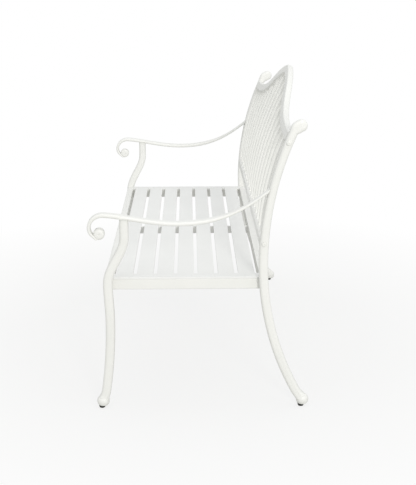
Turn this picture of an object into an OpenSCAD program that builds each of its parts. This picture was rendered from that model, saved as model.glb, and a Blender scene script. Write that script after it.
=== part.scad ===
// Two-seat garden bench: two cast side frames with cabriole legs and scrolled arms,
// a drop-in slatted seat, and a bowed back of slim bars under a peaked crest rail.
// X runs along the bench, -Y is the front, +Z is up. The origin is on the ground,
// at the middle of the bench's footprint. All lengths are in millimetres.

/* [Overall] */
// Length of the bench over the outer faces of its legs
bench_w = 1228; // [900:1:1600]
// Height of the seat's top surface above the ground
seat_z = 414; // [380:1:470]
// Depth of the seat from front edge to rear edge
seat_d = 481; // [420:1:540]

/* [Seat] */
// Number of slats along the seat
slat_n = 7; // [5:1:9]
// Width of one slat
slat_w = 50.5; // [34:0.5:52]
// Thickness of the slats and of the end strips
slat_t = 6.5; // [4:0.5:10]
// Width of the strip that the slat ends are welded to
strip_w = 35; // [28:1:50]
// Width of the front and rear rail tubes
rail_w = 22; // [18:1:26]
// Height of the front and rear rail tubes
rail_h = 38; // [30:1:50]
// Wall of the rail tubes
rail_wall = 2; // [1.5:0.5:4]
// Width of the side rail tubes
side_w = 25; // [20:1:30]
// Height of the side rail tubes
side_h = 31.5; // [24:0.5:40]
// Thickness of the flat brace under the middle of the slats
brace_t = 6; // [4:1:12]
// Height of the flat brace
brace_h = 26; // [15:1:35]

/* [Legs] */
// Width of the legs and posts, along the bench
leg_w = 28; // [24:1:34]
// Depth of the legs below the seat, front to back
leg_d = 27.5; // [22:0.5:32]
// Depth of the arm posts and back posts, front to back
post_d = 24; // [20:0.5:28]
// Height above the seat over which the posts grow slimmer
post_taper = 320; // [60:10:400]
// Rounding of the leg and post edges
leg_r = 9; // [4:0.5:10]
// Radius of the ball at each foot
foot_r = 19; // [17:0.5:24]
// Height of the foot balls' centres above the ground
foot_z = 22; // [20:1:32]
// Distance from the seat's front edge back to the centre of the front knee
knee_in = 10.2; // [0:0.1:14]
// Distance from the seat's front edge back to the centre of the arm post
post_in = 62; // [40:1:80]
// Height above the seat at which the arm post starts to curve forward
post_bend = 129; // [100:1:160]
// Setback of the front shin behind the knee
shin_in = 4.2; // [0:0.1:15]
// Distance from the shin forward to the front leg's lower end
foot_kick = 23.5; // [10:0.5:50]
// Distance from the seat's rear edge forward to the narrowest line of the rear post
waist_in = 11.3; // [6:0.1:14]
// Height of that line above the seat
waist_up = 51; // [40:1:110]
// Bow radius of the rear leg below that line
leg_bow = 867; // [800:1:1400]
// Bow radius of the back post above that line
back_bow = 969; // [700:1:1400]
// Offset of the foot balls' centres beyond the legs' own lines
foot_out = 5; // [0:1:12]
// Offset of the glides forward of the foot balls' centres
glide_in = 4; // [0:1:6]

/* [Finials] */
// Height above the seat at which the post starts to roll back into its finial
finial_up = 433; // [380:1:480]
// Radius of the roll
finial_bend = 40; // [30:1:60]
// Lean of the finial's end from the vertical, in degrees
finial_lean = 70; // [50:1:85]
// Radius of the finial's rounded end
finial_r = 17; // [14:0.5:20]

/* [Arms] */
// Width of the armrest bar
arm_w = 28; // [22:1:34]
// Thickness of the armrest bar
arm_t = 12; // [9:0.5:16]
// Height of the armrest's centre line above the seat, over the arm post
arm_up = 192.5; // [170:0.5:230]
// Sag of the armrest below that height at its lowest point
arm_sag = 17; // [5:1:30]
// Distance from the arm post back to the lowest point
arm_low = 168; // [120:1:220]
// Rise of the armrest's rear end above its lowest point
arm_rise = 86.5; // [50:0.5:110]
// Slope of the armrest where it meets the back post
arm_slope = 0.6; // [0.3:0.05:0.8]
// Distance of the scroll's eye in front of the arm post
eye_out = 72.5; // [60:0.5:90]
// Drop of the scroll's eye below the armrest's centre line
eye_drop = 52.5; // [44:0.5:60]
// Radius of the eye disc
eye_r = 16.5; // [14:0.5:20]
// Rounding of the scroll's eye at its rims
eye_round = 8; // [4:0.5:10]
// Radius of the dimple in the middle of the eye
dimple_r = 4; // [2:0.5:6]

/* [Back] */
// Number of bars in the back
bar_n = 15; // [9:2:19]
// Width of each back bar along the bench
bar_w = 10; // [6:0.5:14]
// Depth of each back bar, front to back
bar_d = 10; // [6:0.5:14]
// Height of the bottom rail's underside above the seat
low_up = 97; // [60:1:160]
// Height of the bottom rail
low_h = 24; // [16:1:36]
// Depth of the bottom rail
low_d = 18; // [12:1:24]
// Height of the crest rail's section
crest_h = 31; // [20:1:40]
// Depth of the crest rail's section
crest_d = 20; // [14:1:24]
// Drop of the upper bolts below the crest rail's centre line
bolt_drop = 9; // [0:1:10]
// Height of the crest rail's centre line above the seat, at its ends
crest_up = 417.5; // [380:0.5:440]
// Rise of the crest's peak above its ends
crest_rise = 127; // [60:1:160]
// Slope of the crest on each side of its peak
crest_slope = 0.15; // [0.1:0.01:0.4]

/* [Fixings] */
// Height of the black glides under the feet
glide_h = 9; // [6:1:14]
// Radius of the glides where they meet the feet
glide_r = 10.5; // [7:0.5:11]
// Radius of the glides' studs
stud_r = 3; // [2:0.5:4]
// Length of the glides' studs
stud_len = 12; // [6:1:16]
// Shank radius of the bolts that hold the back
bolt_r = 3; // [2:0.5:4]
// Head radius of those bolts
bolt_head_r = 6.5; // [5:0.5:8]
// Head height of those bolts
bolt_head_h = 3.5; // [2:0.5:5]
// Reach of those bolts into the rail ends
bolt_in = 20; // [12:1:30]
// Shank radius of the screws that hold the seat down
screw_r = 2.5; // [2:0.5:3]
// Head radius of those screws
screw_head_r = 5.5; // [4:0.5:7]
// Head height of those screws
screw_head_h = 3; // [2:0.5:4]
// Distance of those screws from the middle of the seat
screw_y = 125; // [80:1:180]

/* [Clearances] */
// Gap left at welded seats between curved pieces
weld_gap = 0.15; // [0.1:0.05:0.3]
// Radial clearance of bolts and studs in their holes
bore_gap = 0.15; // [0.1:0.05:0.3]
// Gap between the rail ends and the legs
end_gap = 0.5; // [0.3:0.1:1]

/* [Hidden] */
$fn = 48;
white = "#ecece8";
black = "#1b1b1a";
tip = 0.1; // a cutting tool's reach past the surface that it opens

// Planes along the bench
leg_x = (bench_w - leg_w) / 2;
leg_in_x = bench_w / 2 - leg_w;
side_out_x = leg_in_x - end_gap;
slat_x = side_out_x - strip_w;
rail_x = leg_in_x - end_gap;

// Lines across the seat, measured from its middle
seat_y = seat_d / 2;
bed_y = seat_y - rail_w;
slat_gap = (2 * bed_y - slat_n * slat_w) / (slat_n + 1);
knee_y = knee_in - seat_y;
post_y = post_in - seat_y;
shin_y = knee_y + shin_in;
waist_y = seat_y - waist_in;

// Heights
under_z = seat_z - slat_t;
knee_z = seat_z - 14;
shin_z = 0.69 * seat_z;
bend_z = seat_z + post_bend;
waist_z = seat_z + waist_up;
finial_z = seat_z + finial_up;
arm_z = seat_z + arm_up;
crest_z = seat_z + crest_up;
low_top_z = seat_z + low_up + low_h;
low_z = low_top_z - low_h / 2;

// ---- lines of the side frame -------------------------------------------------

// Eased step from 0 to 1 with level ends
function ease(u) = u * u * (3 - 2 * u);

// Centre line of the front leg and arm post: its place across the seat at height z
function front_y(z) =
    z > bend_z ? post_y :
    z > knee_z ? post_y + (knee_y - post_y) * ease((bend_z - z) / (bend_z - knee_z)) :
    z > shin_z ? knee_y + (shin_y - knee_y) * ease((knee_z - z) / (knee_z - shin_z)) :
    shin_y - foot_kick * pow((shin_z - z) / (shin_z - foot_z), 2);

// Half the depth of a leg at height z: full below the seat, slimmer in the posts above it
function half_d(z) =
    let (u = (z - seat_z) / post_taper)
    (leg_d + (post_d - leg_d) * ease(min(1, max(0, u)))) / 2;

// Rise of a bow of radius r at a distance d along it
function bow(r, d) = r - sqrt(r * r - d * d);

// Centre line of the rear leg and back post, straight above the height of the finial
function rear_y(z) =
    z < waist_z ? waist_y + bow(leg_bow, waist_z - z) :
    z < finial_z ? waist_y + bow(back_bow, z - waist_z) :
    waist_y + bow(back_bow, finial_up - waist_up) + (z - finial_z) * tan(back_lean(z));

// Lean of the back from the vertical at height z, in degrees
function back_lean(z) =
    z < waist_z ? -asin((waist_z - z) / leg_bow) :
    asin((min(z, finial_z) - waist_z) / back_bow);

// Unit vector along the back, upward, and the one square to it, rearward, in the Y-Z plane
function back_along(z) = [sin(back_lean(z)), cos(back_lean(z))];
function back_square(z) = [cos(back_lean(z)), -sin(back_lean(z))];

// A point of the back at height z, moved rearward by r
function back_at(z, r) = [rear_y(z), z] + r * back_square(z);

// A curve in the Y-Z plane between two points [y, z] with the slopes s0 and s1
function span(p0, s0, p1, s1, u) =
    let (w = p1.x - p0.x, v = 1 - u)
    [p0.x + w * u,
     p0.y * (1 + 2 * u) * v * v + p1.y * u * u * (3 - 2 * u) + w * (s0 * u * v * v - s1 * u * u * v)];

// ---- sections and sweeps -----------------------------------------------------

// Rounded rectangle with half sizes a by b and corner radius r, m points at each corner
function section(a, b, r, m) = [
    for (q = [0:3], k = [0:m - 1])
        let (t = 90 * q + 90 * k / (m - 1),
             sx = (q == 0 || q == 3) ? 1 : -1,
             sy = q < 2 ? 1 : -1)
        [sx * (a - r) + r * cos(t), sy * (b - r) + r * sin(t)]];

// Solid through rings of points that all have the same number of points
module skin(rings) {
    n = len(rings[0]);
    last = len(rings) - 1;
    polyhedron(
        points = [for (ring = rings, p = ring) p],
        faces = concat(
            [[for (j = [0:n - 1]) j]],
            [for (i = [0:last - 1], j = [0:n - 1])
                [i * n + j, (i + 1) * n + j, (i + 1) * n + (j + 1) % n]],
            [for (i = [0:last - 1], j = [0:n - 1])
                [i * n + j, (i + 1) * n + (j + 1) % n, i * n + (j + 1) % n]],
            [[for (j = [n - 1:-1:0]) last * n + j]]));
}

// A ring in the side frame's plane: the section set across the vector v at the point c
function ring(c, v, sec) = [for (s = sec) [s.x, c.x + s.y * v.x, c.y + s.y * v.y]];

// Vector square to the line from a to b, turned a quarter turn clockwise
function square_to(a, b) = [b.y - a.y, a.x - b.x] / norm(b - a);

// Vectors square to a line of points, with given ones at its first and last points
function squares(line, v0, v1) = [
    for (i = [0:len(line) - 1])
        i == 0 ? v0 : i == len(line) - 1 ? v1 : square_to(line[i - 1], line[i + 1])];

// Rings square to a line of points, all with the same section
function rings_along(line, v0, v1, sec) =
    let (v = squares(line, v0, v1)) [for (i = [0:len(line) - 1]) ring(line[i], v[i], sec)];

// Rings of a leg along a line of points, their depth following the height
function leg_rings(line, v0, v1) =
    let (v = squares(line, v0, v1))
    [for (i = [0:len(line) - 1]) ring(line[i], v[i], leg_section(half_d(line[i].y)))];

module cylinder_x(r, x0, x1) {
    translate([x0, 0, 0]) rotate([0, 90, 0]) cylinder(r = r, h = x1 - x0);
}

// ---- armrest line --------------------------------------------------------------

function arm_under(s) = arm_t / 2 * sqrt(1 + s * s);
post_slope = -2 * arm_sag / arm_low * 0.8;
arm_post = [post_y, arm_z];
arm_lowest = [post_y + arm_low, arm_z - arm_sag];
arm_end_z = arm_z - arm_sag + arm_rise;
arm_end = back_at(arm_end_z, -half_d(arm_end_z) - weld_gap);
eye = [post_y - eye_out, arm_z - eye_drop];

// The scroll: a spiral round the eye from scroll_from to scroll_to degrees, closing on the
// disc's rim over its first three quarters and running along the rim for the rest
scroll_from = 70;
scroll_to = 250;
scroll_out = (arm_z - eye.y) / sin(scroll_from) + 3;
scroll_in = eye_r + 0.5;
function scroll(t) =
    let (a = scroll_from + (scroll_to - scroll_from) * t, u = min(1, 1.3 * t))
    eye + (scroll_out + (scroll_in - scroll_out) * (ease(u) + u) / 2) * [cos(a), sin(a)];

// Share of the arm's thickness left at t along the scroll
function scroll_taper(t) = 1 - 0.65 * pow(t, 1.5);

arm_line = concat(
    [for (i = [24:-1:0]) scroll(i / 24)],
    [for (i = [1:3]) span(scroll(0), -0.06, arm_post, post_slope, i / 3)],
    [for (i = [1:8]) span(arm_post, post_slope, arm_lowest, 0, i / 8)],
    [for (i = [1:12]) span(arm_lowest, 0, arm_end, arm_slope, i / 12)]);

// ---- crest line ------------------------------------------------------------------

crest_x = leg_in_x - end_gap;
panel_r = crest_d / 2 - post_d / 2; // the back panel's middle surface, from the posts' centre line
crest_reach = [0.41, 0.35]; // places of the curve's handles, as shares of half the crest's length

// Bezier of the crest's centre line from the peak (t = 0) to an end (t = 1), as [x, z]
function bez(a, b, c, d, t) =
    let (u = 1 - t) a * u * u * u + 3 * b * u * u * t + 3 * c * u * t * t + d * t * t * t;
crest_a = [0, crest_z + crest_rise];
crest_b = crest_a + crest_x * crest_reach[0] * [1, -crest_slope];
crest_c = [crest_reach[1] * crest_x, crest_z];
crest_e = [crest_x, crest_z];
function crest_at(t) = bez(crest_a, crest_b, crest_c, crest_e, t);

// The curve's parameter at the distance x from the peak
function crest_t(x, lo = 0, hi = 1, n = 24) =
    n == 0 ? (lo + hi) / 2 :
    crest_at((lo + hi) / 2).x < x ? crest_t(x, (lo + hi) / 2, hi, n - 1) : crest_t(x, lo, (lo + hi) / 2, n - 1);

// Place and direction of the crest's centre line on the leaning back, at parameter t of side s
function crest_point(t, s) =
    let (p = crest_at(t), q = back_at(p.y, panel_r)) [s * p.x, q.x, q.y];
function crest_dir(t, s) =
    let (d = crest_point(min(t + 0.001, 1), 1) - crest_point(max(t - 0.001, 0), 1),
         u = d / norm(d))
    t == 0 ? [1, 0, 0] : [u.x, s * u.y, s * u.z];
function back_normal(z) = let (q = back_square(z)) [0, q.x, q.y];
function crest_up_dir(t, s) =
    let (h = cross(crest_dir(t, s), back_normal(crest_at(t).y))) h / norm(h);

// ---- side frames -------------------------------------------------------------------

// Moves a right-hand piece to its side: s = 1 is the right-hand end, s = -1 the left-hand end
module at_side(s, x) {
    if (s > 0) translate([x, 0, 0]) children();
    else mirror([1, 0, 0]) translate([x, 0, 0]) children();
}

// Shifts from seat coordinates, measured from the seat's middle, to the bench's own
module place() {
    translate([0, -(front_most + rear_most) / 2, 0]) children();
}
front_most = min([for (i = [0:200]) scroll(i / 200).x - arm_t / 2 * scroll_taper(i / 200)]);
toe_y = front_y(foot_z) - foot_out;
heel_y = rear_y(foot_z) + foot_out;
rear_most = heel_y + foot_r;

function leg_section(d) = section(leg_w / 2, d, leg_r, 4);

// Ball foot with a flat underside for its glide
module foot(y) {
    difference() {
        translate([0, y, foot_z]) sphere(r = foot_r);
        translate([-2 * foot_r, y - 2 * foot_r, glide_h - 4 * foot_r]) cube(4 * foot_r);
    }
}

module stud_bore(y) {
    translate([0, y, glide_h - tip]) cylinder(r = stud_r + bore_gap, h = stud_len + bore_gap + tip);
}

// Heights that share out a stretch evenly, from its top down, without its last one
function steps(z0, z1, n) = [for (i = [0:n - 1]) z0 + (z1 - z0) * i / n];

module front_leg(s) {
    slope = post_slope;
    top = arm_z - arm_under(slope) - weld_gap;
    heights = concat([top], steps(bend_z, knee_z, 12), steps(knee_z, shin_z, 5), steps(shin_z, foot_z, 9), [foot_z]);
    line = [for (z = heights) [z == foot_z ? toe_y : front_y(z), z]];
    color(white) place() at_side(s, leg_x) difference() {
        union() {
            skin(leg_rings(line, [-1, -slope], [-1, 0]));
            foot(toe_y);
        }
        stud_bore(toe_y - glide_in);
    }
}

module rear_leg(s) {
    lean0 = back_lean(finial_z);
    up = [for (z = steps(foot_z, waist_z, 14)) [z == foot_z ? heel_y : rear_y(z), z]];
    post = [for (z = steps(waist_z, finial_z, 14)) [rear_y(z), z]];
    hub = back_at(finial_z, finial_bend);
    line = concat(up, post, [hub + finial_bend * [-cos(lean0), sin(lean0)]]);
    body = leg_rings(line, [1, 0], [cos(lean0), -sin(lean0)]);
    n = len(up) + len(post);
    color(white) place() at_side(s, leg_x) difference() {
        union() {
            skin(concat([for (i = [0:n - 1]) body[i]], finial_rings(hub, lean0)));
            foot(heel_y);
        }
        stud_bore(heel_y - glide_in);
        for (z = back_bolt_z) back_bolt_bore(z);
    }
}

// Rings of the rolled finial: the section swells along the roll and closes over a round end
function finial_rings(hub, lean0) = concat(
    [for (i = [0:6])
        let (u = i / 6,
             a = lean0 + (finial_lean - lean0) * u,
             b = post_d / 2 + (finial_r - post_d / 2) * ease(min(1, 1.7 * u)))
        ring(hub + finial_bend * [-cos(a), sin(a)], [cos(a), -sin(a)],
             section(leg_w / 2, b, leg_r, 4))],
    [for (i = [1:5])
        let (t = 88 * i / 5,
             c = hub + finial_bend * [-cos(finial_lean), sin(finial_lean)]
                 + finial_r * sin(t) * [sin(finial_lean), cos(finial_lean)],
             b = finial_r * cos(t),
             a = leg_w / 2 - leg_r * (1 - cos(t)))
        ring(c, [cos(finial_lean), -sin(finial_lean)], section(a, b, min(leg_r, b) * 0.98, 4))]);

module armrest(s) {
    end_dir = back_along(arm_end_z);
    arm_dir = [-arm_slope, 1] / norm([1, arm_slope]);
    eye_w = arm_w + 2;
    v = squares(arm_line, square_to(arm_line[0], arm_line[1]), -end_dir / (end_dir * arm_dir));
    color(white) place() at_side(s, leg_x) difference() {
        union() {
            skin([for (i = [0:len(arm_line) - 1])
                let (t = arm_t * scroll_taper(max(0, 1 - i / 24)))
                ring(arm_line[i], v[i], section(arm_w / 2, t / 2, 0.45 * t, 3))]);
            translate([0, eye.x, eye.y]) rotate([0, 90, 0]) rotate_extrude() {
                translate([0, -eye_w / 2]) square([eye_r - eye_round, eye_w]);
                translate([0, eye_round - eye_w / 2]) square([eye_r, eye_w - 2 * eye_round]);
                for (side = [-1, 1])
                    translate([eye_r - eye_round, side * (eye_w / 2 - eye_round)]) circle(r = eye_round);
            }
        }
        for (side = [-1, 1])
            translate([side * (eye_w / 2 + dimple_r / 2), eye.x, eye.y]) sphere(r = dimple_r);
    }
}

// Glide with its stud, under the foot at y
module glide(s, y) {
    color(black) place() at_side(s, leg_x) translate([0, y, 0]) rotate_extrude() polygon([
        [0, 0], [0.8 * glide_r, 0], [0.85 * glide_r, 1], [glide_r, glide_h],
        [stud_r, glide_h], [stud_r, glide_h + stud_len], [0, glide_h + stud_len]]);
}

// Side rail: a tube between the front and rear rails that carries the seat's end strip
module side_rail(s) {
    color(white) place() at_side(s, side_out_x - side_w) difference() {
        translate([0, -bed_y, under_z - side_h]) cube([side_w, 2 * bed_y, side_h]);
        translate([rail_wall, -bed_y - tip, under_z - side_h + rail_wall])
            cube([side_w - 2 * rail_wall, 2 * (bed_y + tip), side_h - 2 * rail_wall]);
        for (y = [-screw_y, screw_y])
            translate([side_w / 2, y, under_z - side_h - tip]) cylinder(r = screw_r + bore_gap, h = side_h + 2 * tip);
    }
}

// ---- seat --------------------------------------------------------------------------

// A rectangular tube along the bench with its rear lower edge at [y, z]
module rail_tube(y) {
    color(white) place() difference() {
        translate([-rail_x, y, seat_z - rail_h]) cube([2 * rail_x, rail_w, rail_h]);
        translate([-rail_x - tip, y + rail_wall, seat_z - rail_h + rail_wall])
            cube([2 * (rail_x + tip), rail_w - 2 * rail_wall, rail_h - 2 * rail_wall]);
    }
}

module seat_front_rail() { rail_tube(-seat_y); }
module seat_rear_rail() { rail_tube(bed_y); }

module seat_end_strip(s) {
    color(white) place() at_side(s, slat_x) difference() {
        translate([0, -bed_y, under_z]) cube([strip_w, 2 * bed_y, slat_t]);
        for (y = [-screw_y, screw_y])
            translate([strip_w - side_w / 2, y, under_z - tip])
                cylinder(r = screw_r + bore_gap, h = slat_t - 1 + tip);
    }
}

module seat_crossbar() {
    color(white) place() translate([-brace_t / 2, -bed_y, under_z - brace_h])
        cube([brace_t, 2 * bed_y, brace_h]);
}

// Slat i of slat_n, counted from the front
module seat_slat(i) {
    y = -bed_y + slat_gap * i + slat_w * (i - 1);
    color(white) place() translate([-slat_x, y, under_z]) cube([2 * slat_x, slat_w, slat_t]);
}

// ---- back --------------------------------------------------------------------------

module bottom_rail() {
    c = back_at(low_z, low_d / 2 - half_d(low_z));
    color(white) place() difference() {
        translate([-crest_x, c.x, low_z]) rotate([0, 90, 0]) linear_extrude(2 * crest_x)
            rounded([low_h, low_d], 3);
        for (s = [-1, 1]) at_side(s, leg_x) back_bolt_bore(low_z);
    }
}

// A rectangle about the origin with rounded corners
module rounded(size, r) {
    polygon(section(size.x / 2, size.y / 2, r, 6));
}

crest_section = section(crest_d / 2, crest_h / 2, 4, 3);

module crest_rail() {
    half = [for (i = [0:24]) i / 24];
    function crest_ring(t, s) =
        let (c = crest_point(t, s), h = crest_up_dir(t, s), n = back_normal(crest_at(t).y))
        [for (p = crest_section) c + p.x * n + p.y * h];
    color(white) place() difference() {
        skin(concat(
            [for (i = [24:-1:1]) crest_ring(half[i], -1)],
            [for (i = [0:24]) crest_ring(half[i], 1)]));
        for (s = [-1, 1]) at_side(s, leg_x) back_bolt_bore(back_bolt_z[0]);
    }
}

// Bar i of bar_n, counted from the left
function bar_x(i) = 2 * leg_in_x * (i / (bar_n + 1) - 0.5);

module back_bar(i) {
    x = bar_x(i);
    t = crest_t(abs(x));
    s = x < 0 ? -1 : 1;
    heights = [for (k = [0:12]) low_top_z + (crest_at(t).y - low_top_z) * k / 12];
    front = [for (z = heights) back_at(z, panel_r - bar_d / 2)];
    rear = [for (k = [12:-1:0]) back_at(heights[k], panel_r + bar_d / 2)];
    h = crest_up_dir(t, s);
    d = crest_dir(t, s);
    n = back_normal(crest_at(t).y);
    c = crest_point(t, s) - (crest_h / 2 + weld_gap) * h;
    color(white) place() difference() {
        translate([x - bar_w / 2, 0, 0]) rotate([90, 0, 90]) linear_extrude(bar_w)
            polygon(concat(front, rear));
        multmatrix([
            [d.x, n.x, h.x, c.x],
            [d.y, n.y, h.y, c.y],
            [d.z, n.z, h.z, c.z],
            [0, 0, 0, 1]])
            translate([-crest_h, -crest_h, 0]) cube(2 * crest_h);
        translate([x - bar_w, rear_y(low_top_z) - leg_d, low_top_z - crest_h])
            cube([2 * bar_w, 2 * leg_d, crest_h]);
    }
}

// ---- fixings -----------------------------------------------------------------------

// Bolts through the back posts into the ends of the crest and the bottom rail
back_bolt_z = [crest_z - bolt_drop, low_z];

module back_bolt_bore(z) {
    c = back_at(z, panel_r);
    translate([0, c.x, c.y])
        cylinder_x(bolt_r + bore_gap, -leg_w / 2 - end_gap - bolt_in - bore_gap, leg_w / 2 + tip);
}

module back_bolts() {
    color(white) place() for (s = [-1, 1], z = back_bolt_z) {
        c = back_at(z, panel_r);
        at_side(s, leg_x) translate([0, c.x, c.y]) {
            cylinder_x(bolt_r, -leg_w / 2 - end_gap - bolt_in, leg_w / 2);
            translate([leg_w / 2, 0, 0]) rotate([0, 90, 0]) rotate_extrude()
                polygon([[0, 0], [bolt_head_r, 0], [bolt_head_r, 0.4 * bolt_head_h],
                    [0.75 * bolt_head_r, bolt_head_h], [0, bolt_head_h]]);
        }
    }
}

// Screws up through the side rails into the seat's end strips
module seat_screws() {
    base = under_z - side_h;
    color(white) place() for (s = [-1, 1], y = [-screw_y, screw_y])
        at_side(s, side_out_x - side_w / 2) translate([0, y, base]) {
            translate([0, 0, -screw_head_h]) cylinder(r1 = 0.7 * screw_head_r, r2 = screw_head_r, h = screw_head_h);
            cylinder(r = screw_r, h = side_h + slat_t - 1);
        }
}

// ---- nodes -------------------------------------------------------------------------

front_leg(-1);  // front_leg_left
front_leg(1);  // front_leg_right
rear_leg(-1);  // rear_leg_left
rear_leg(1);  // rear_leg_right
armrest(-1);  // armrest_left
armrest(1);  // armrest_right
glide(-1, toe_y - glide_in);  // glide_front_left
glide(1, toe_y - glide_in);  // glide_front_right
glide(-1, heel_y - glide_in);  // glide_rear_left
glide(1, heel_y - glide_in);  // glide_rear_right
side_rail(-1);  // side_rail_left
side_rail(1);  // side_rail_right
seat_front_rail();
seat_rear_rail();
seat_end_strip(-1);  // seat_end_strip_left
seat_end_strip(1);  // seat_end_strip_right
seat_crossbar();
for (i = [1:slat_n]) seat_slat(i);
crest_rail();
bottom_rail();
for (i = [1:bar_n]) back_bar(i);
back_bolts();
seat_screws();
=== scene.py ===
# %% [markdown]
# # A two-seat garden bench of white cast aluminium
# Two cast side frames carry a slatted seat and a bowed back. Each frame is a cabriole
# front leg, a rear leg that runs on upward as the back post, and a scrolled arm. This
# lesson dresses the imported part: it keeps every place and size of the solids and gives
# them the softened edges, flowing sections and coated skin that the real castings have.

import bpy
import numpy as np
from mathutils import Matrix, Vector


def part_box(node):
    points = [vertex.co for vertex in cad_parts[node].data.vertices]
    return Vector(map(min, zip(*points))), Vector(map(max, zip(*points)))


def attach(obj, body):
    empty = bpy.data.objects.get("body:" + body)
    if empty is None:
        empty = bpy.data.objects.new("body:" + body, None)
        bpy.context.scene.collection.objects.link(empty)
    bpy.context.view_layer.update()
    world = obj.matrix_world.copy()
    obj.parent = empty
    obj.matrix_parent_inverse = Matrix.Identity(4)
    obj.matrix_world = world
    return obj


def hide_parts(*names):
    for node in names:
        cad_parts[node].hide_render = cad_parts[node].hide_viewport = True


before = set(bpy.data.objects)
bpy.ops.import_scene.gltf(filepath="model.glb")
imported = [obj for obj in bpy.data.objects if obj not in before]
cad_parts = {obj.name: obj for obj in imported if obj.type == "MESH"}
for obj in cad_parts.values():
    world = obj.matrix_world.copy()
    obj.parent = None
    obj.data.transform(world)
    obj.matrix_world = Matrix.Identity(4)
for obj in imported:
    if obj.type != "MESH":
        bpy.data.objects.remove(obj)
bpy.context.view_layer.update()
MM = 0.001
seat_middle = sum(corner.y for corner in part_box("seat_slat_4")) / 2 / MM
seat_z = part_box("seat_slat_4")[1].z / MM
leg_x = sum(corner.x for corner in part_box("glide_front_right")) / 2 / MM

# %% [markdown]
# ## Surfaces from numbers
# Every piece here is a grid of points: rings of a section, set one after another along
# a line, like slices of a loaf. A section is a rounded rectangle, because cast bars and
# drawn tubes both have softened corners. The flat sides carry a few points close to the
# corners, so that the smooth shading of a corner doesn't spread over the flat beside it.

# %% Sections and sweeps
X_AXIS = np.array([1.0, 0.0, 0.0])
HOLD = np.array([0.08, 0.5, 0.92])  # places of the points along a flat side


def section(half_x, half_y, radius, arc=6):
    """Rings (n, m, 2) of a rounded rectangle; sizes may be numbers or one value a ring.

    Corner q is centred at (+-(a - r), +-(b - r)) and its arc is r (cos t, sin t) with t
    from 90 q to 90 q + 90 degrees. radius is one value, one a ring, or four, one a corner.
    """
    a, b = np.atleast_1d(half_x)[:, None], np.atleast_1d(half_y)[:, None]
    n = max(len(a), len(b))
    r = np.asarray(radius, float)
    r = r[None, :] if r.shape == (4,) else np.atleast_1d(r)[:, None]
    r = np.broadcast_to(r, (max(n, len(r)), 4))
    corners = []
    for q, (sx, sy) in enumerate(((1, 1), (-1, 1), (-1, -1), (1, -1))):
        t = np.radians(90 * q) + np.linspace(0, np.pi / 2, arc)
        rq = r[:, q : q + 1]
        x = sx * (a - rq) + rq * np.cos(t)
        y = sy * (b - rq) + rq * np.sin(t)
        corners.append(np.stack(np.broadcast_arrays(x, y), -1))
    sides = []
    for q in range(4):
        end, start = corners[q][:, -1:], corners[(q + 1) % 4][:, :1]
        sides += [corners[q], end + (start - end) * HOLD[None, :, None]]
    return np.concatenate(sides, 1)


def sweep(centres, across, upward, rings):
    """Grid (n, m, 3): ring i is centres[i] + x across[i] + y upward[i]."""
    across, upward = np.broadcast_arrays(np.atleast_2d(across), np.atleast_2d(upward))
    return (
        centres[:, None]
        + rings[..., :1] * across[:, None]
        + rings[..., 1:] * upward[:, None]
    )


def turned(profile, axis, centre, steps=40):
    """Grid of a profile [(along, radius), ...] turned about an axis through centre."""
    profile = np.asarray(profile, float)
    axis = np.asarray(axis, float)
    side = np.cross(axis, [0.0, 1.0, 0.0] if abs(axis[1]) < 0.9 else [1.0, 0.0, 0.0])
    side /= np.linalg.norm(side)
    t = np.linspace(0, 2 * np.pi, steps, endpoint=False)[:, None]
    around = np.cos(t) * side + np.sin(t) * np.cross(axis, side)
    return (
        np.asarray(centre, float)
        + profile[:, None, :1] * axis
        + profile[:, None, 1:] * around[None]
    )


print("section of a post:", section(14, 12, 9).shape[1], "points round")

# %% [markdown]
# A grid becomes a mesh when its rings are joined by faces of four corners and each end is
# closed by a fan of triangles. The sign of the enclosed volume says whether the faces
# point outwards, and they are turned round where they don't. One piece may need several
# grids, such as a leg and its ball, and it stands for one or more of the part's solids.

# %% Grids into pieces


def faces_of(grid):
    """Points and faces of a grid closed round each ring and capped at both ends.

    The volume is the sum over the four-sided faces of p0 . (p1 x p2 + p2 x p3).
    """
    n, m = grid.shape[:2]
    i, j = np.meshgrid(np.arange(n - 1), np.arange(m), indexing="ij")
    k = (j + 1) % m
    quads = np.stack([i * m + j, (i + 1) * m + j, (i + 1) * m + k, i * m + k], -1)
    quads = quads.reshape(-1, 4)
    points = np.concatenate(
        [grid.reshape(-1, 3), grid[:1].mean(1), grid[-1:].mean(1)]
    )
    j = np.arange(m)
    k = (j + 1) % m
    first = np.stack([np.full(m, n * m), j, k], -1)
    last = np.stack([np.full(m, n * m + 1), (n - 1) * m + k, (n - 1) * m + j], -1)
    p0, p1, p2, p3 = (points[quads[:, c]] for c in range(4))
    volume = np.einsum("ij,ij->", p0, np.cross(p1, p2) + np.cross(p2, p3))
    if volume < 0:
        quads, first, last = quads[:, ::-1], first[:, ::-1], last[:, ::-1]
    return points, quads, np.concatenate([first, last])


def make(name, grids, finish, *nodes, sharp=38):
    """Makes one object of the grids, in millimetres, that stands for the CAD nodes."""
    points, quads, tris, base = [], [], [], 0
    for grid in grids:
        p, q, t = faces_of(grid)
        points.append(p)
        quads.append(q + base)
        tris.append(t + base)
        base += len(p)
    points = np.concatenate(points) * MM
    faces = np.concatenate(quads).tolist() + np.concatenate(tris).tolist()
    mesh = bpy.data.meshes.new(name)
    mesh.from_pydata(points.tolist(), [], faces)
    mesh.shade_smooth()
    mesh.set_sharp_from_angle(angle=np.radians(sharp))
    mesh.materials.append(coats[finish])
    piece = bpy.data.objects.new(name, mesh)
    bpy.context.scene.collection.objects.link(piece)
    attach(piece, "root")
    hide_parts(*nodes)
    return piece


def mirrored(grids, side):
    """The grids of a right-hand piece, or their mirror image for side -1."""
    return [grid * [side, 1, 1] for grid in grids]


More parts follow.
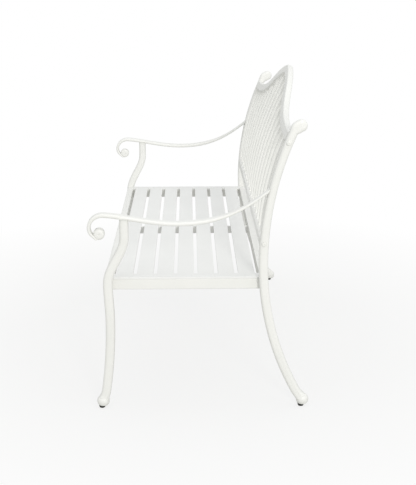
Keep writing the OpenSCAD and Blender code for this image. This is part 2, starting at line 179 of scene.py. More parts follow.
drum_sides, drum_ends = faces_of(turned([[0, 1], [1, 1]], X_AXIS, [0, 0, 0], 8))[1:]
print("a drum of 8 sides:", len(drum_sides), "four-sided faces,", len(drum_ends), "triangles")

# %% [markdown]
# ## The finish
# The metal is powder coated: a white polyester powder is sprayed on charged and baked,
# and it flows out into a skin about a tenth of a millimetre thick with a faint orange
# peel. Here that is a low bump of two noises, with a slow drift in colour and gloss,
# so that no face is one flat tone.

# %% A coat's nodes
GLOSS_DRIFT = 0.05  # the roughness wanders this much either way


def coat(name, light, dark, rough, peel, depth, scale=9.0):
    """A coated skin: colour drifts between two tones, peel is the bump's waves a metre.

    The bump's height is the sum of a fine noise and a coarser one of 0.22 times its waves.
    """
    material = bpy.data.materials.new(name)
    material.use_nodes = True
    tree = material.node_tree
    tree.nodes.clear()

    def node(kind, **values):
        """A new node with its inputs set; a _ in a name stands for a space."""
        new = tree.nodes.new(kind)
        for key, value in values.items():
            new.inputs[key.replace("_", " ")].default_value = value
        return new

    place = node("ShaderNodeTexCoord").outputs["Object"]
    slow = node("ShaderNodeTexNoise", Scale=scale, Detail=4.0, Roughness=0.55)
    fine = node("ShaderNodeTexNoise", Scale=peel, Detail=2.0, Roughness=0.5)
    specks = node("ShaderNodeTexNoise", Scale=peel * 0.22, Detail=3.0, Roughness=0.6)
    for texture in (slow, fine, specks):
        tree.links.new(place, texture.inputs["Vector"])
    tones = tree.nodes.new("ShaderNodeMix")
    tones.data_type = "RGBA"
    tones.inputs["A"].default_value = (*dark, 1)
    tones.inputs["B"].default_value = (*light, 1)
    spread = node("ShaderNodeMapRange", From_Min=0.3, From_Max=0.7)
    tree.links.new(slow.outputs["Fac"], spread.inputs["Value"])
    tree.links.new(spread.outputs["Result"], tones.inputs["Factor"])
    low, high = rough - GLOSS_DRIFT, rough + GLOSS_DRIFT
    gloss = node("ShaderNodeMapRange", From_Min=0.3, From_Max=0.7, To_Min=low, To_Max=high)
    tree.links.new(specks.outputs["Fac"], gloss.inputs["Value"])
    waves = tree.nodes.new("ShaderNodeMath")
    waves.operation = "ADD"
    tree.links.new(fine.outputs["Fac"], waves.inputs[0])
    tree.links.new(specks.outputs["Fac"], waves.inputs[1])
    bump = node("ShaderNodeBump", Strength=0.35, Distance=depth)
    tree.links.new(waves.outputs[0], bump.inputs["Height"])
    skin = node("ShaderNodeBsdfPrincipled", IOR=1.5)
    tree.links.new(tones.outputs["Result"], skin.inputs["Base Color"])
    tree.links.new(gloss.outputs["Result"], skin.inputs["Roughness"])
    tree.links.new(bump.outputs["Normal"], skin.inputs["Normal"])
    out = tree.nodes.new("ShaderNodeOutputMaterial")
    tree.links.new(skin.outputs["BSDF"], out.inputs["Surface"])
    return material


print("a coat mixes two tones over one noise and bumps them with two")

# %% [markdown]
# The castings are a touch warmer than the rolled flats and have the coarser peel. Bolts
# and screws are coated too, but so small that only their gloss tells. The glides are
# black plastic, moulded rather than coated, with the same kind of faint drift.

# %% The four finishes
coats = {
    "frame_coat": coat(
        "cast_frame_coat", (0.845, 0.84, 0.815), (0.815, 0.815, 0.785), 0.42, 700, 0.0003
    ),
    "panel_coat": coat(
        "rolled_panel_coat", (0.845, 0.845, 0.83), (0.82, 0.82, 0.805), 0.36, 1100, 0.0002
    ),
    "fixings_coat": coat(
        "fixing_coat", (0.835, 0.83, 0.8), (0.79, 0.79, 0.76), 0.34, 1500, 0.0001, 60.0
    ),
    "glide_plastic": coat(
        "glide_plastic", (0.014, 0.014, 0.01), (0.007, 0.007, 0.005), 0.5, 1800, 0.0001, 80.0
    ),
}
print("finishes:", sorted(coats))

# %% [markdown]
# ## The lines of a side frame
# Each side frame is drawn as a centre line in a plane across the bench. The front line
# drops straight down the arm post, swings forward to the knee, sinks back along the shin
# and kicks out at the toe. The rear line is two bows that meet at the narrowest place
# just above the seat. The numbers are the part's own, in millimetres from the middle of
# the seat; heights are from the ground.

# %% Centre lines
LEG_W, LEG_D, POST_D, LEG_R = 28.0, 27.5, 24.0, 9.0
FOOT_R, FOOT_Z, FOOT_OUT, GLIDE_H, GLIDE_R, GLIDE_IN = 19.0, 22.0, 5.0, 9.0, 10.5, 4.0
seat_half = 240.5
leg_out_x = leg_x + LEG_W / 2
knee_y, post_y = 10.2 - seat_half, 62.0 - seat_half
shin_y = knee_y + 4.2
waist_y, waist_z = seat_half - 11.3, seat_z + 51
knee_z, shin_z, bend_z = seat_z - 14, 0.69 * seat_z, seat_z + 129
LEG_BOW, BACK_BOW = 867.0, 969.0
finial_z, FINIAL_BEND, FINIAL_LEAN, FINIAL_R = seat_z + 433, 40.0, 70.0, 17.0
arm_z = seat_z + 192.5


def ease(u):
    """Step from 0 to 1 with level ends: u^2 (3 - 2u), held outside 0 to 1."""
    u = np.clip(u, 0, 1)
    return u * u * (3 - 2 * u)


def front_y(z):
    """Place across the seat of the front leg and arm post, at the heights z."""
    toe = shin_y - 23.5 * ((shin_z - z) / (shin_z - FOOT_Z)) ** 2
    shin = knee_y + (shin_y - knee_y) * ease((knee_z - z) / (knee_z - shin_z))
    swing = post_y + (knee_y - post_y) * ease((bend_z - z) / (bend_z - knee_z))
    return np.where(z > knee_z, swing, np.where(z > shin_z, shin, toe))


def lean(z):
    """Lean of the rear line from the vertical, in radians, at the heights z."""
    low = -np.arcsin((waist_z - np.minimum(z, waist_z)) / LEG_BOW)
    high = np.arcsin((np.clip(z, waist_z, finial_z) - waist_z) / BACK_BOW)
    return low + high


def rear_y(z):
    """Place of the rear leg and back post: the rise r - sqrt(r^2 - d^2) of two bows."""
    down = np.maximum(waist_z - z, 0)
    up = np.clip(z, waist_z, finial_z) - waist_z
    straight = np.maximum(z - finial_z, 0) * np.tan(lean(finial_z))
    rise = LEG_BOW - np.sqrt(LEG_BOW**2 - down**2) + BACK_BOW - np.sqrt(BACK_BOW**2 - up**2)
    return waist_y + rise + straight


def at_back(z, rearward):
    """Points (n, 3) on the leaning back at the heights z, moved square to it."""
    a = lean(z)
    y, h = rear_y(z) + rearward * np.cos(a), z - rearward * np.sin(a)
    return np.stack(np.broadcast_arrays(0.0 * h, y, h), -1)


def half_depth(z):
    """Half the depth of a leg: full below the seat, slimmer in the posts above it."""
    return (LEG_D + (POST_D - LEG_D) * ease((z - seat_z) / 320)) / 2


def squares(line):
    """Unit vectors square to a line in the Y-Z plane, a quarter turn clockwise."""
    d = np.gradient(line, axis=0)
    v = np.stack([0 * d[:, 0], d[:, 2], -d[:, 1]], -1)
    return v / np.linalg.norm(v, axis=1, keepdims=True)


def placed(x, yz):
    """Points (n, 3) in the bench's frame from seat coordinates [y, z] at the plane x."""
    return np.stack([np.full(len(yz), x), yz[:, 0] + seat_middle, yz[:, 1]], -1)


toe_y = float(front_y(np.array(FOOT_Z))) - FOOT_OUT
heel_y = float(rear_y(np.array(FOOT_Z))) + FOOT_OUT
print("feet centres:", round(toe_y, 1), "and", round(heel_y, 1), "mm from the seat's middle")

# %% [markdown]
# ## Legs and posts
# A leg is one casting with its ball foot. The bar's section keeps its width and slims
# from the leg to the post. Where the leg meets its ball it flares over a small fillet,
# because molten metal needs a round corner to flow past. At the top of the arm post the
# same kind of flare is the weld that holds the arm.

# %% Front legs and rear legs
BALL_EASE = 0.03  # off the ball's radius, so that its widest ring stays within the solids
ANKLE, FOOT_START = 30.0, 9.0  # above the ball's centre: end and start of the led-out stretch
POST_END, POST_WELD_R, FLARE_MOST = 5.2, 5.0, 1.2
FINIAL_SWELL, FINIAL_CLOSE = 1.7, 88


def ball(x, y):
    """The foot: a ball turned about the vertical, cut flat where the glide sits."""
    t = np.linspace(0, np.arccos((GLIDE_H - FOOT_Z) / FOOT_R), 26)[1:]
    arc = np.stack([FOOT_Z + FOOT_R * np.cos(t), (FOOT_R - BALL_EASE) * np.sin(t)], -1)
    flat = [[GLIDE_H, 0.6 * arc[-1, 1]], [GLIDE_H, 2.0]]
    return turned(np.concatenate([arc, flat]), [0, 0, 1], [x, y + seat_middle, 0], 44)


def flare(distance, radius):
    """Growth of a section at a distance from a joint: a quarter round of that radius."""
    d = radius - np.clip(distance, 0, radius)
    return radius - np.sqrt(radius**2 - d**2)


def ankle(heights, line_y, out):
    """The leg's own line, led out over its last stretch to the ball's centre."""
    return line_y(heights) + out * ease((FOOT_Z + ANKLE - heights) / ANKLE)


def leg_sweep(x, yz, grow):
    """Leg or post along the points yz, its section widened by grow at each ring."""
    line = placed(x, yz)
    depth = half_depth(yz[:, 1]) + grow
    rings = section(LEG_W / 2 + grow, depth, LEG_R)
    return sweep(line, X_AXIS, squares(line), rings)


def ball_flare(yz, ball_y, fillet=7.0):
    """Growth of the leg where its distance from the ball's centre nears the ball's skin."""
    reach = np.hypot(yz[:, 0] - ball_y, yz[:, 1] - FOOT_Z)
    start = np.sqrt((FOOT_R + fillet) ** 2 - (LEG_W / 2 + fillet) ** 2)
    return np.minimum(flare(reach - start + fillet, fillet), FLARE_MOST)


def front_leg(x):
    """The front line from the arm down, its rings closer together at the weld, and the ball."""
    top = arm_z - POST_END
    near, rest = np.linspace(0, 12, 9), np.linspace(top - 16, FOOT_Z + FOOT_START, 92)
    z = np.concatenate([top - near, rest])
    yz = np.stack([ankle(z, front_y, -FOOT_OUT), z], -1)
    grow = flare(top - z - 1.0, POST_WELD_R) + ball_flare(yz, toe_y)
    return [leg_sweep(x, yz, grow), ball(x, toe_y)]


def finial(x):
    """The rolled end: the post turns over backward, swells, and closes in a round.

    Its centre line is an arc of radius FINIAL_BEND. Half its depth grows by an eased step
    to FINIAL_R, and the tip is a quarter round of that radius.
    """
    hub = at_back(np.array([finial_z]), FINIAL_BEND)[0, 1:]
    start, end = float(lean(finial_z)), np.radians(FINIAL_LEAN)
    u = np.linspace(0, 1, 22)
    a = start + (end - start) * u
    yz = hub + FINIAL_BEND * np.stack([-np.cos(a), np.sin(a)], -1)
    square = np.stack([0 * a, np.cos(a), -np.sin(a)], -1)
    depth = POST_D / 2 + (FINIAL_R - POST_D / 2) * ease(FINIAL_SWELL * u)
    t = np.radians(np.linspace(0, FINIAL_CLOSE, 14))[1:]
    tip = yz[-1] + FINIAL_R * np.sin(t)[:, None] * [np.sin(end), np.cos(end)]
    yz = np.concatenate([yz, tip])
    square = np.concatenate([square, np.repeat(square[-1:], len(t), 0)])
    depth = np.concatenate([depth, FINIAL_R * np.cos(t)])
    width = np.concatenate([0 * u + LEG_W / 2, LEG_W / 2 - LEG_R * (1 - np.cos(t))])
    return placed(x, yz), square, section(width, depth, 0.98 * np.minimum(LEG_R, depth))


def rear_leg(x):
    """The rear line from the ball up to the finial as one grid, and the ball."""
    z = np.linspace(FOOT_Z + FOOT_START, finial_z, 130)[:-1]
    yz = np.stack([ankle(z, rear_y, FOOT_OUT), z], -1)
    grow = ball_flare(yz, heel_y)
    line = placed(x, yz)
    body = section(LEG_W / 2 + grow, half_depth(z) + grow, LEG_R)
    end_line, end_square, end_rings = finial(x)
    square = np.concatenate([squares(line), end_square])
    square *= np.sign(square[:, 1:2])
    line, rings = np.concatenate([line, end_line]), np.concatenate([body, end_rings])
    return [sweep(line, X_AXIS, square, rings), ball(x, heel_y)]


for side, word in ((-1, "left"), (1, "right")):
    front, rear = mirrored(front_leg(leg_x), side), mirrored(rear_leg(leg_x), side)
    make(f"front_leg_casting_{word}", front, "frame_coat", f"front_leg_{word}")
    make(f"rear_leg_casting_{word}", rear, "frame_coat", f"rear_leg_{word}")

# %% [markdown]
# ## Arms
# The arm is a flat bar bent to a long sagging line. In front of its post it curls down
# into a scroll, thinning as it goes, and closes on a round eye with a dimple on each
# side. The scroll is a spiral: its distance from the eye falls with an eased step while
# the angle turns, so it leaves the level arm without a kink and hugs the eye at its end.

# %% The arm's line
ARM_W, ARM_T, EYE_R = 28.0, 12.0, 16.5
eye = np.array([post_y - 72.5, arm_z - 52.5])
SCROLL_FROM, SCROLL_TURN, SCROLL_SPEED, CURL_RINGS, CURL_SLOPE = 70, 180, 1.3, 72, -0.06
# places on the arm: how far behind its post, how far above arm_z, slope, rings up to it
OVER_POST, DIP = (0.0, -4.0, -0.175, 12), (156.0, -23.4, 0.0, 32)
RISE, NEAR_END = (311.0, 4.7, 0.41, 32), (390.0, 50.5, 0.73, 16)
END_UP, END_IN, END_SLOPE, END_RINGS = 73.0, 2.0, 0.88, 8
arm_end_z = np.array([arm_z + END_UP])
arm_end = at_back(arm_end_z, END_IN - half_depth(arm_end_z))[0, 1:]


def span(p0, s0, p1, s1, count):
    """Cubic between two points with the slopes s0 and s1, without its first point."""
    u = np.linspace(0, 1, count + 1)[1:]
    w, v = p1[0] - p0[0], 1 - u
    rise = p0[1] * (1 + 2 * u) * v * v + p1[1] * u * u * (3 - 2 * u)
    return np.stack([p0[0] + w * u, rise + w * (s0 * u * v * v - s1 * u * u * v)], -1)


def scroll(t):
    """Spiral round the eye over half a turn, for t from 0 to 1.

    Its radius falls by the mean of an even step and an eased one.
    """
    a = np.radians(SCROLL_FROM + SCROLL_TURN * t)
    u = np.minimum(1, SCROLL_SPEED * t)
    start, end = (arm_z - eye[1]) / np.sin(np.radians(SCROLL_FROM)) + 3, EYE_R + 0.5
    r = start + (end - start) * (ease(u) + u) / 2
    return eye + r[:, None] * np.stack([np.cos(a), np.sin(a)], -1)


def softened(line, passes):
    """The line with each inner point drawn to the middle of its neighbours."""
    line = line.copy()
    for _ in range(passes):
        line[1:-1] = (line[:-2] + 2 * line[1:-1] + line[2:]) / 4
    return line


def arm_line():
    """Points [y, z] from the scroll's end over the post, through the dip, into the back."""
    curl = scroll(np.linspace(1, 0, CURL_RINGS))
    line, start, start_slope = [curl], curl[-1], CURL_SLOPE
    end = (arm_end[0] - post_y, arm_end[1] - arm_z, END_SLOPE, END_RINGS)
    for behind, above, slope, count in (OVER_POST, DIP, RISE, NEAR_END, end):
        place = (post_y + behind, arm_z + above)
        line.append(span(start, start_slope, place, slope, count))
        start, start_slope = place, slope
    return softened(np.concatenate(line), 8)


print("arm end at", np.round(arm_end, 1).tolist(), "eye at", np.round(eye, 1).tolist())

# %% [markdown]
# The bar keeps its thickness up to the dip and slims on its rise to the back, as a casting
# may where it carries little. Its last rings are meant to turn until they lie flat on the
# post, like a mitre. They have a fault that a reader should know: `squares` points down
# here and the post's direction points up, so the last two rings turn over instead, and
# the weld is a thin crease. The eye is one outline turned about the axis of the scroll: a
# small hollow, a round rim, and the same again on the other face.

# %% Armrests
EYE_ROUND, DIMPLE_R = 8.0, 4.0
SCROLL_THIN = 0.65  # share of the thickness that is gone at the scroll's end
SLIM_FROM, SLIM_OVER = 220.0, 140.0  # behind the post: start and length of the slimming
SLIM_T, SLIM_W = 0.4, 2.5  # share of the thickness and half of the width that go
MITRE, ARM_WELD_R = 16.0, 6.0


def arm(x):
    """The bar, slimmer in its scroll and towards the back, and the eye with its dimples.

    A ring turned by an angle is taller by 1 / cos(angle), so that the bar keeps its
    thickness. In the last two rings that cosine is negative, which turns them over; with
    `-squares(line)` in place of `squares(line)` they would lie on the post as meant.
    """
    yz = arm_line()
    t = np.clip(1 - np.arange(len(yz)) / (CURL_RINGS - 1), 0, 1)
    slim = ease((yz[:, 0] - post_y - SLIM_FROM) / SLIM_OVER)
    half_t = (ARM_T / 2 * (1 - SCROLL_THIN * t**1.5) - 0.05) * (1 - SLIM_T * slim)
    step = np.linalg.norm(np.diff(yz, axis=0), axis=1)
    to_end = np.concatenate([np.cumsum(step[::-1])[::-1], [0]])
    turn = ease(1 - to_end / MITRE)[:, None]
    line = placed(x, yz)
    a = lean(yz[:, 1])
    along_post = np.stack([0 * a, np.sin(a), np.cos(a)], -1)
    square = squares(line)
    upward = (1 - turn) * square + turn * along_post
    upward /= np.linalg.norm(upward, axis=1, keepdims=True)
    half_up = half_t / np.sum(upward * square, axis=1)
    weld = flare(to_end - END_IN, ARM_WELD_R)
    half_w = ARM_W / 2 - SLIM_W * slim + 0.3 * weld
    rings = section(half_w, half_up + weld, 0.9 * half_t)
    bar = sweep(line, X_AXIS, upward, rings)
    half, a = ARM_W / 2 + 1, np.radians(np.linspace(0, 90, 10))
    lip = np.sqrt(DIMPLE_R**2 - (DIMPLE_R / 2) ** 2)
    d = np.linspace(0.06, 1, 7) * lip
    dish = np.stack([half + DIMPLE_R / 2 - np.sqrt(DIMPLE_R**2 - d**2), d], -1)
    inward, drop = EYE_ROUND * (1 - np.cos(a)), EYE_ROUND * (1 - np.sin(a))
    rim = np.stack([half - inward, EYE_R - drop], -1)
    one_side = np.concatenate([dish, rim])
    other = one_side[::-1] * [-1, 1]
    button = turned(np.concatenate([one_side, other]), X_AXIS, placed(x, eye[None])[0], 48)
    return [bar, button]


for side, word in ((-1, "left"), (1, "right")):
    make(f"arm_casting_{word}", mirrored(arm(leg_x), side), "frame_coat", f"armrest_{word}")

# %% [markdown]
# ## The seat
# The seat is a panel of seven flat slats. Their ends are welded to a strip at each end
# of the bench and ground flush, so the top is one even face with eight long slots. Under
# the strips run side tubes, and along the front and the rear a deeper tube closes the
# panel. A flat brace on edge stiffens the middle of the slats. The seams show only where
# a strip lies on its tube, as a fine dark line. Every one of these is a straight bar with
# its long edges rounded and its two ends eased, so one helper makes them all.

# %% Straight bars
RAIL_W, RAIL_H, SLAT_W, SLAT_T = 22.0, 38.0, 50.5, 6.5
STRIP_W, SIDE_W, SIDE_H, BRACE_T, BRACE_H = 35.0, 25.0, 31.5, 6.0, 26.0
SHARP = 0.06  # radius of an edge that is ground flush with its neighbour
RAIL_GAP, REAR_SHIFT = 0.5, 2.7  # tubes to legs; the rear tube behind that of the solids
SLATS, SLAT_EASE = 7, 0.5  # how many, and what is taken off each long edge
rail_x = leg_out_x - LEG_W - RAIL_GAP
slat_x, bed, under_z = rail_x - STRIP_W, seat_half - RAIL_W, seat_z - SLAT_T
bed_rear = bed + REAR_SHIFT


def bar_along(axis, lows, highs, radii, ends=0.4):
    """Straight bar between two corners along axis 0 (X) or 1 (Y), with eased ends.

    Five rings of one rounded section; the first and the last are smaller by the easing.
    """
    lows, highs = np.array(lows, float), np.array(highs, float)
    lows[1] += seat_middle
    highs[1] += seat_middle
    middle, half = (lows + highs) / 2, (highs - lows) / 2
    along = np.eye(3)[axis]
    across = np.eye(3)[1 - axis]
    s = np.array([-1, -1 + ends / half[axis], 0, 1 - ends / half[axis], 1])
    shrink = np.array([ends, 0, 0, 0, ends])
    rings = section(half[1 - axis] - shrink, half[2] - shrink, radii)
    centres = middle + s[:, None] * half[axis] * along
    return sweep(centres, across, np.array([0, 0, 1.0]), rings)


print("seat between the tubes:", round(2 * bed), "mm deep,", round(2 * rail_x), "mm long")

# %% [markdown]
# Seven slats share the depth between the front and the rear tube with eight equal slots.
# The edges that meet a neighbour in one even face stay almost sharp, and the outer edges
# of the tubes have the round that a drawn tube has.

# %% Slats, strips, tubes and brace
gap = (2 * bed - SLATS * SLAT_W) / (SLATS + 1)
for i in range(SLATS):
    y = -bed + gap * (i + 1) + SLAT_W * i
    slat = bar_along(
        0,
        [-slat_x, y + SLAT_EASE, under_z],
        [slat_x, y + SLAT_W - SLAT_EASE, seat_z],
        1.2,
        SHARP,
    )
    make(f"slat_flat_{i + 1}", [slat], "panel_coat", f"seat_slat_{i + 1}")
for word, y in (("front", -seat_half), ("rear", bed_rear)):
    radii = [2.5, SHARP, 2.0, 2.5] if word == "rear" else [SHARP, 2.5, 2.5, 2.0]
    tube = bar_along(0, [-rail_x, y, seat_z - RAIL_H], [rail_x, y + RAIL_W, seat_z], radii)
    make(f"{word}_tube", [tube], "frame_coat", f"seat_{word}_rail")
for side, word in ((-1, "left"), (1, "right")):
    strip = bar_along(
        1, [slat_x, -bed, under_z], [rail_x, bed_rear, seat_z], [1.0, SHARP, 0.8, 1.0]
    )
    tube = bar_along(
        1, [rail_x - SIDE_W, -bed, under_z - SIDE_H], [rail_x, bed_rear, under_z], 2.2
    )
    make(f"end_strip_{word}", mirrored([strip], side), "panel_coat", f"seat_end_strip_{word}")
    make(f"side_tube_{word}", mirrored([tube], side), "frame_coat", f"side_rail_{word}")
brace = bar_along(
    1, [-BRACE_T / 2, -bed, under_z - BRACE_H], [BRACE_T / 2, bed_rear, under_z], 1.0
)
make("middle_brace", [brace], "panel_coat", "seat_crossbar")
slot = gap + 2 * SLAT_EASE
print("slots between slats:", round(slot, 2), "mm wide,", round(2 * slat_x), "mm long")

# %% [markdown]
# ## The back
# The crest rail rises from the two posts to a soft peak in the middle. Its line is one
# curve for each half, drawn on the leaning surface of the back, so the rail leans and
# bows with the posts. Fifteen slim square bars stand between it and the bottom rail,
# each bent to the same bow and welded at both ends. Each bar runs up into the crest, so
# its end needs no shape of its own, and flares over a small weld at its foot.

# %% Lines of the back
CREST_H, CREST_D, LOW_H, LOW_D, BAR, BARS = 31.0, 20.0, 24.0, 18.0, 10.0, 15
LOW_DROP = 3.5  # the bottom rail's lower edge is this much below that of the solid
PEAK_RISE, PEAK_PULL, PEAK_SLOPE, END_PULL = 127.0, 0.41, -0.15, 0.65
crest_z, low_top_z = seat_z + 417.5, seat_z + 97 + LOW_H
panel = CREST_D / 2 - POST_D / 2  # the crest's middle before the posts' middle
peak = np.array([0, crest_z + PEAK_RISE])
crest_end = np.array([rail_x, crest_z])
peak_handle = peak + rail_x * PEAK_PULL * np.array([1, PEAK_SLOPE])
end_handle = crest_end - rail_x * END_PULL * np.array([1, 0])


def crest_line(t):
    """Bezier [x, z] of the crest's centre line from the peak, t = 0, to an end, t = 1."""
    t = t[:, None]
    u = 1 - t
    pulled = 3 * u * t * (u * peak_handle + t * end_handle)
    return peak * u**3 + pulled + crest_end * t**3


print("peak of the crest at", round(float(peak[1] + CREST_H / 2)), "mm")

# %% [markdown]
# The crest's section is set square to its line and to the lean of the back at each place,
# by two cross products. The bars stand at equal steps between the posts.

# %% Crest rail, bottom rail and bars


def crest_rail():
    """The crest as one grid from end to end, its line carried onto the leaning back."""
    t = np.linspace(-1, 1, 181)
    xz = crest_line(np.abs(t))
    line = at_back(xz[:, 1], panel)
    line[:, 0] = np.sign(t) * xz[:, 0]
    line = softened(line, 3)
    line[:, 1] += seat_middle
    along = np.gradient(line, axis=0)
    along /= np.linalg.norm(along, axis=1, keepdims=True)
    a = lean(xz[:, 1])
    rearward = np.stack([0 * a, np.cos(a), -np.sin(a)], -1)
    upward = np.cross(along, rearward)
    upward /= np.linalg.norm(upward, axis=1, keepdims=True)
    return sweep(line, rearward, upward, section(CREST_D / 2, CREST_H / 2, 5.0))


def back_bar(x):
    """A bar from inside the bottom rail up into the crest, at the place x."""
    top = np.interp(abs(x), *crest_line(np.linspace(0, 1, 400)).T)
    foot, rest = np.linspace(-2, 4, 7), np.linspace(low_top_z + 8, top - 6, 60)
    z = np.concatenate([low_top_z + foot, rest])
    line = at_back(z, panel)
    line[:, 0] = x
    line[:, 1] += seat_middle
    a = lean(z)
    rearward = np.stack([0 * a, np.cos(a), -np.sin(a)], -1)
    half = BAR / 2 + flare(z - low_top_z, 2.5)
    return sweep(line, X_AXIS, rearward, section(half, half, 1.8))


make("crest_casting", [crest_rail()], "frame_coat", "crest_rail")
low_z = np.array([low_top_z - LOW_H / 2])
low = at_back(low_z, LOW_D / 2 - half_depth(low_z))[0]
low_bar = bar_along(
    0,
    [-rail_x, low[1] - LOW_D / 2, low_top_z - LOW_H - LOW_DROP],
    [rail_x, low[1] + LOW_D / 2, low_top_z],
    3.0,
)
make("bottom_tube", [low_bar], "frame_coat", "bottom_rail")
for i in range(BARS):
    x = 2 * (leg_out_x - LEG_W) * ((i + 1) / (BARS + 1) - 0.5)
    make(f"upright_bar_{i + 1}", [back_bar(x)], "frame_coat", f"back_bar_{i + 1}")
print(BARS, "bars,", round(2 * (leg_out_x - LEG_W) / (BARS + 1), 1), "mm from one to the next")

# %% [markdown]
# ## Bolts, screws and glides
# The back hangs on four bolts through the posts. Their low domed heads, with a shallow
# recess, sit on the posts' outer faces. Four screws under the side tubes hold the strips.
# Each ball foot stands on a black glide with a slight taper, which keeps the coat off
# wet stone and the stone free of scratches. All of them are turned parts: one profile of
# distances along an axis and radii, carried round it.

# %% Profiles of the fixings
BOLT_R, BOLT_NECK_R, BOLT_HEAD_R, BOLT_HEAD_H, BOLT_IN = 3.0, 5.0, 6.5, 4.6, 20.0
BOLT_EDGE, DOME_IN, NECK_H = 2.0, 2.8, 1.0  # where the dome starts, how far it draws in, groove
SCREW_R, SCREW_HEAD_R, SCREW_HEAD_H, SCREW_Y, BOLT_DROP = 2.5, 5.5, 3.0, 125.0, 12.0


def bolt(z):
    """A bolt along X: its shank, a groove under the head, and the domed head's recess."""
    point = at_back(np.array([z]), panel)[0]
    face = LEG_W / 2
    top = face + BOLT_HEAD_H
    a = np.radians(np.linspace(0, 90, 9))
    rise, inward = (BOLT_HEAD_H - BOLT_EDGE) * np.sin(a), DOME_IN * (1 - np.cos(a))
    shank = [[-face - RAIL_GAP - BOLT_IN, BOLT_R], [face - 0.1, BOLT_R]]
    neck = [[face - 0.05, BOLT_NECK_R], [face + NECK_H - 0.1, BOLT_NECK_R]]
    rim = [[face + NECK_H, BOLT_HEAD_R]]
    dome = np.stack([face + BOLT_EDGE + rise, BOLT_HEAD_R - inward], -1)
    recess = [[top, 2.0], [top - 0.2, 1.8], [top - 0.8, 1.8], [top - 0.8, 0.3]]
    profile = np.concatenate([shank, neck, rim, dome, recess])
    return turned(profile, X_AXIS, [leg_x, point[1] + seat_middle, point[2]], 48)


def screw(y):
    """A screw upward: its pan head under the tube, and its shank."""
    base = under_z - SIDE_H
    a = np.radians(np.linspace(0, 90, 8))
    swell = SCREW_HEAD_R * (0.4 + 0.6 * np.sin(a))
    head = np.stack([base - SCREW_HEAD_H * np.cos(a), swell], -1)
    rest = [[base, SCREW_HEAD_R], [base + 0.05, SCREW_R], [seat_z - 1, SCREW_R]]
    profile = np.concatenate([[[base - SCREW_HEAD_H, 0.3]], head, rest])
    return turned(profile, [0, 0, 1], [rail_x - SIDE_W / 2, y + seat_middle, 0], 32)


def glide(x, y):
    """A glide: tapered foot with an eased lower edge, and its stud."""
    profile = [
        [0, 0.4], [0, 0.74 * GLIDE_R], [0.35, 0.79 * GLIDE_R], [1.2, 0.83 * GLIDE_R],
        [GLIDE_H - 0.8, 0.98 * GLIDE_R], [GLIDE_H - 0.2, GLIDE_R], [GLIDE_H, 0.97 * GLIDE_R],
        [GLIDE_H + 0.05, 3.0], [GLIDE_H + 12, 3.0],
    ]
    return turned(profile, [0, 0, 1], [x, y + seat_middle, 0], 40)


print("bolt head:", 2 * BOLT_HEAD_R, "mm, screw head:", 2 * SCREW_HEAD_R, "mm across")

# %% [markdown]
# The two sides are mirror images. The four bolts are one piece, because they are the same
# fastener used four times, and so are the four screws.

# %% Fixings and feet
heights = (crest_z - BOLT_DROP, low_top_z - LOW_H / 2)
bolts = [grid for s in (-1, 1) for grid in mirrored([bolt(z) for z in heights], s)]
screws = [grid for s in (-1, 1) for grid in mirrored([screw(y) for y in (-SCREW_Y, SCREW_Y)], s)]
make("back_bolt_set", bolts, "fixings_coat", "back_bolts", sharp=30)
make("seat_screw_set", screws, "fixings_coat", "seat_screws", sharp=30)
for side, word in ((-1, "left"), (1, "right")):
    for end, y in (("front", toe_y), ("rear", heel_y)):
        pad = mirrored([glide(leg_x, y - GLIDE_IN)], side)
        make(f"{end}_glide_pad_{word}", pad, "glide_plastic", f"glide_{end}_{word}", sharp=30)
print("fixings:", len(bolts), "bolts,", len(screws), "screws, 4 glides")

# %% [markdown]
# ## Floor, light and camera
# The bench stands on a plain white floor. The floor keeps a faint shadow under the bench
# and fades to plain white further out: a share of plain glow covers the matt floor, and
# the share grows with the distance from the middle. Other rays than the viewer's meet
# only the matt floor, so that the glow doesn't light the bench from below.

# %% Floor
FLOOR_R, FADE_FROM, FADE_TO, LEAST_GLOW = 40.0, 0.6, 1.7, 0.8  # metres, and a share
floor_mesh = bpy.data.meshes.new("floor")
angle = np.linspace(0, 2 * np.pi, 96, endpoint=False)
rim = np.stack([np.cos(angle), np.sin(angle), 0 * angle], -1) * FLOOR_R
floor_mesh.from_pydata(rim.tolist(), [], [list(range(96))])
floor = bpy.data.objects.new("floor", floor_mesh)
bpy.context.scene.collection.objects.link(floor)
paper = bpy.data.materials.new("floor_paper")
paper.use_nodes = True
tree = paper.node_tree
tree.nodes.clear()
new = tree.nodes.new
place = new("ShaderNodeTexCoord")
far = new("ShaderNodeVectorMath")
far.operation = "LENGTH"
tree.links.new(place.outputs["Object"], far.inputs[0])
fade = new("ShaderNodeMapRange")
fade.inputs["From Min"].default_value = FADE_FROM
fade.inputs["From Max"].default_value = FADE_TO
fade.inputs["To Min"].default_value = LEAST_GLOW
fade.inputs["To Max"].default_value = 1.0
tree.links.new(far.outputs["Value"], fade.inputs["Value"])
rays = new("ShaderNodeLightPath")
seen = new("ShaderNodeMath")
seen.operation = "MULTIPLY"
tree.links.new(fade.outputs["Result"], seen.inputs[0])
tree.links.new(rays.outputs["Is Camera Ray"], seen.inputs[1])
matt = new("ShaderNodeBsdfDiffuse")
matt.inputs["Color"].default_value = (0.62, 0.62, 0.6, 1)
glow = new("ShaderNodeEmission")
glow.inputs["Color"].default_value = (1, 1, 1, 1)
glow.inputs["Strength"].default_value = 1.0
blend = new("ShaderNodeMixShader")
tree.links.new(seen.outputs[0], blend.inputs["Fac"])
tree.links.new(matt.outputs["BSDF"], blend.inputs[1])
tree.links.new(glow.outputs["Emission"], blend.inputs[2])
out = new("ShaderNodeOutputMaterial")
tree.links.new(blend.outputs["Shader"], out.inputs["Surface"])
floor_mesh.materials.append(paper)
print("floor:", 2 * FLOOR_R, "m across, plain white from", FADE_TO, "m off the middle")

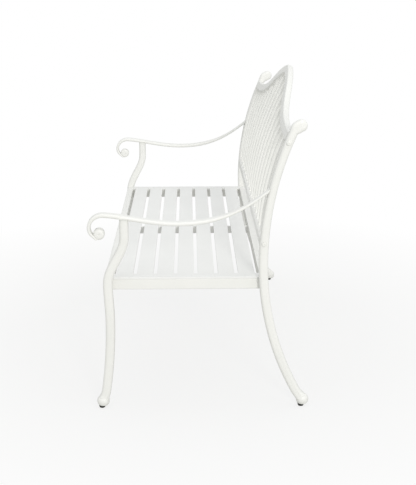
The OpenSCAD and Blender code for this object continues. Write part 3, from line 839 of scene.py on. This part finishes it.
# %% [markdown]
# One broad soft light hangs above, a second one stands beyond the end of the bench that
# faces the viewer, and an even surround fills the rest, which is how white goods are lit
# so that their edges still read. The surround lights the bench at less than full white,
# but the viewer sees it plain white.

# %% Surround and lamps
world = bpy.data.worlds.new("surround")
bpy.context.scene.world = world
world.use_nodes = True
tree = world.node_tree
tree.nodes.clear()
rays = tree.nodes.new("ShaderNodeLightPath")
even = tree.nodes.new("ShaderNodeBackground")
even.inputs["Color"].default_value = (0.99, 1.0, 1.0, 1)
even.inputs["Strength"].default_value = 0.8
white = tree.nodes.new("ShaderNodeBackground")
white.inputs["Color"].default_value = (1, 1, 1, 1)
white.inputs["Strength"].default_value = 1.0
pick = tree.nodes.new("ShaderNodeMixShader")
out = tree.nodes.new("ShaderNodeOutputWorld")
tree.links.new(rays.outputs["Is Camera Ray"], pick.inputs["Fac"])
tree.links.new(even.outputs["Background"], pick.inputs[1])
tree.links.new(white.outputs["Background"], pick.inputs[2])
tree.links.new(pick.outputs["Shader"], out.inputs["Surface"])


def aimed(obj, place, target):
    """Sets an object at a place, its -Z towards the target and its top upward."""
    place, target = np.array(place, float), np.array(target, float)
    back = (place - target) / np.linalg.norm(place - target)
    right = np.cross([0, 0, 1.0], back)
    right = right / np.linalg.norm(right) if np.linalg.norm(right) > 1e-6 else X_AXIS
    matrix = np.eye(4)
    matrix[:3, :3] = np.stack([right, np.cross(back, right), back], -1)
    matrix[:3, 3] = place
    obj.matrix_world = Matrix(matrix.tolist())
    return obj


def lamp(name, place, target, size, watts, colour):
    """A soft lamp: a glowing rectangle of a size in metres, aimed at the target."""
    light = bpy.data.lights.new(name, "AREA")
    light.shape = "RECTANGLE"
    light.size, light.size_y = size
    light.energy = watts
    light.color = colour
    obj = bpy.data.objects.new(name, light)
    bpy.context.scene.collection.objects.link(obj)
    return aimed(obj, place, target)


lamp("top_light", (0.4, 0.2, 3.4), (0, 0.05, 0.4), (3.6, 3.0), 20, (0.97, 0.99, 1.0))
lamp("end_light", (8.5, 2.15, 3.2), (0, 0, 0.5), (1.5, 2.0), 266, (1.0, 0.99, 0.965))

# %% [markdown]
# The viewer stands beyond the right-hand end of the bench and a little above the arms,
# looking along the seat. The lens is a normal one, so the far frame is clearly smaller
# than the near one, but neither is drawn out of shape.

# %% Camera
PITCH, YAW = 0.2905712, -0.0209201  # radians
LENS, SENSOR_HEIGHT = 47.01031, 24.0  # millimetres
eye_point = np.array([3.2608, seat_middle * MM + 0.01034, 1.3210])
forward = -np.array([np.cos(PITCH) * np.cos(YAW), np.cos(PITCH) * np.sin(YAW), np.sin(PITCH)])
camera_data = bpy.data.cameras.new("camera")
camera_data.sensor_fit = "VERTICAL"
camera_data.sensor_height = SENSOR_HEIGHT
camera_data.lens = LENS
camera_data.clip_end = 200
camera = bpy.data.objects.new("camera", camera_data)
bpy.context.scene.collection.objects.link(camera)
aimed(camera, eye_point, eye_point + forward)
bpy.context.scene.camera = camera
bpy.context.scene.view_settings.view_transform = "Standard"
print("lens", round(camera_data.lens, 2), "mm on a 24 mm high sensor")
